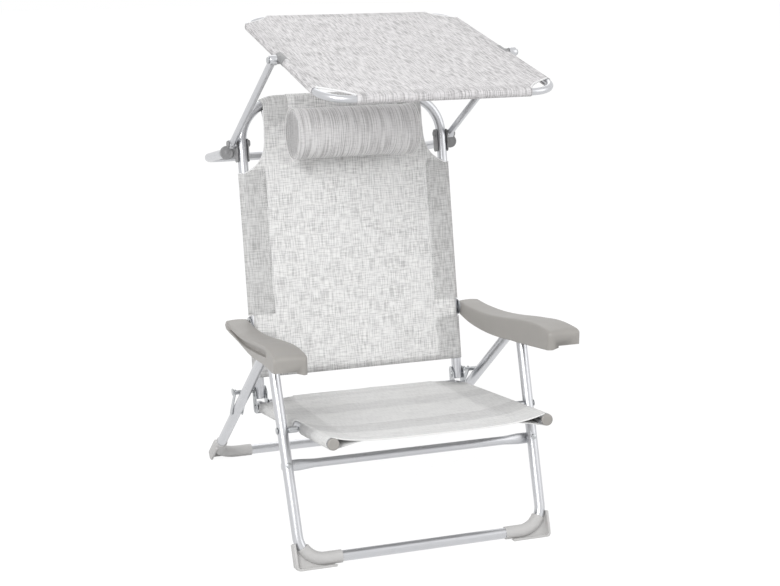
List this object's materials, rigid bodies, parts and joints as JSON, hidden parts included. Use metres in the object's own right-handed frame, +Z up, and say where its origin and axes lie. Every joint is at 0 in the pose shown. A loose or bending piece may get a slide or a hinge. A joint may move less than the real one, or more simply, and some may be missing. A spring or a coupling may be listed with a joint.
{
  "type": "folding beach lounger with canopy",
  "caption": "Low folding lounge chair: tube frame, sling seat and reclining sling back with head roll, moulded armrests, tilting canopy and a rear prop bar.",
  "frame": {"origin": "on the ground, centred below the whole chair's outline at rest", "axes": "+Z up, -Y towards the sitter's feet, +X to the sitter's left"},
  "size_m": [0.6388, 0.8456, 1.0406],
  "materials": {
    "tube": "bright drawn aluminium tube",
    "rivet": "zinc plated",
    "bracket": "dark coated steel",
    "foot": "moulded, light grey",
    "armrest": "moulded, warm grey, fine grain",
    "clamp": "moulded, mid grey",
    "sling": "open coated mesh, mottled pale grey",
    "canopy": "fine coated mesh, mottled grey",
    "pillow": "coated mesh over filling"
  },
  "bodies": {
    "front_frame": {"front_leg_frame": "tube", "front_brace": "tube", "brace_rivet_left": "rivet", "brace_rivet_right": "rivet", "front_foot_left": "foot", "front_foot_right": "foot", "leg_link_left": "rivet", "leg_link_right": "rivet"},
    "rear_legs": {"rear_leg_frame": "tube", "rear_foot_left": "foot", "rear_foot_right": "foot", "rear_leg_pivot_left": "rivet", "rear_leg_pivot_right": "rivet"},
    "seat": {"seat_tube_left": "tube", "seat_tube_right": "tube", "seat_cap_left": "foot", "seat_cap_right": "foot", "seat_pivot_pin_left": "rivet", "seat_pivot_pin_right": "rivet", "seat_rear_bar": "tube", "seat_cloth": "sling", "hinge_bracket_left": "bracket", "hinge_bracket_right": "bracket", "seat_rivet_left": "rivet", "seat_rivet_right": "rivet", "latch_pin_left": "bracket", "latch_pin_right": "bracket"},
    "latch_guides": {"latch_guide_left": "rivet", "latch_guide_right": "rivet"},
    "recline_pins": {"recline_pin_left": "rivet", "recline_pin_right": "rivet"},
    "backrest": {"backrest_frame": "tube", "backrest_cloth": "sling", "pillow": "pillow", "pillow_flap": "pillow", "canopy_clamp_left": "clamp", "canopy_clamp_right": "clamp", "canopy_arm_bolt_left": "clamp", "canopy_arm_bolt_right": "clamp"},
    "arm_pins": {"arm_pin_left": "rivet", "arm_pin_right": "rivet"},
    "armrests": {"armrest_left": "armrest", "armrest_right": "armrest"},
    "rear_prop_bar": {"rear_prop": "tube", "prop_cap_left": "clamp", "prop_cap_right": "clamp", "prop_pivot_left": "rivet", "prop_pivot_right": "rivet"},
    "canopy_arms": {"canopy_arm_left": "tube", "canopy_arm_right": "tube"},
    "canopy": {"canopy_frame_front": "tube", "canopy_frame_rear": "tube", "canopy_socket_left": "clamp", "canopy_socket_right": "clamp", "canopy_tilt_bolt_left": "bracket", "canopy_tilt_bolt_right": "bracket", "canopy_cloth": "canopy"}
  },
  "joints": [
    {"name": "seat_fold", "type": "hinge", "parent": "front_frame", "child": "seat", "pos_m": [0, -0.22692, 0.25471], "axis": [-1, 0, 0], "range_deg": [0, 64]},
    {"name": "rear_leg_fold", "type": "hinge", "parent": "front_frame", "child": "rear_legs", "pos_m": [0, -0.13614, 0.39804], "axis": [-1, 0, 0], "range_deg": [-0.5, 53]},
    {"name": "latch_guide_swing", "type": "hinge", "parent": "seat", "child": "latch_guides", "pos_m": [0, 0.08598, 0.24249], "axis": [-1, 0, 0], "range_deg": [-0.5, 13]},
    {"name": "back_level", "type": "hinge", "parent": "seat", "child": "recline_pins", "pos_m": [0, 0.08161, 0.23396], "axis": [-1, 0, 0], "range_deg": [-65, 0.5]},
    {"name": "backrest_recline", "type": "hinge", "parent": "recline_pins", "child": "backrest", "pos_m": [0, 0.08161, 0.23396], "axis": [-1, 0, 0], "range_deg": [0, 77]},
    {"name": "arm_level", "type": "hinge", "parent": "backrest", "child": "arm_pins", "pos_m": [0, 0.11457, 0.38204], "axis": [-1, 0, 0], "range_deg": [-59, 0.5]},
    {"name": "armrest_swing", "type": "hinge", "parent": "arm_pins", "child": "armrests", "pos_m": [0, 0.11457, 0.38204], "axis": [-1, 0, 0], "range_deg": [-0.5, 76]},
    {"name": "rear_prop_fold", "type": "hinge", "parent": "backrest", "child": "rear_prop_bar", "pos_m": [0, 0.23538, 0.74066], "axis": [-1, 0, 0], "range_deg": [0, 88]},
    {"name": "canopy_raise", "type": "hinge", "parent": "backrest", "child": "canopy_arms", "pos_m": [0, 0.20003, 0.76594], "axis": [-1, 0, 0], "range_deg": [0, 70]},
    {"name": "canopy_tilt", "type": "hinge", "parent": "canopy_arms", "child": "canopy", "pos_m": [0, -0.13733, 0.98086], "axis": [-1, 0, 0], "range_deg": [-35, 15]}
  ],
  "couplings": [
    {"joint": "rear_leg_fold", "follows": "seat_fold", "ratio": 0.81},
    {"joint": "latch_guide_swing", "follows": "seat_fold", "ratio": 0.18},
    {"joint": "back_level", "follows": "seat_fold", "ratio": -1},
    {"joint": "armrest_swing", "follows": "seat_fold", "ratio": 1.17},
    {"joint": "arm_level", "follows": "backrest_recline", "ratio": -0.756}
  ]
}
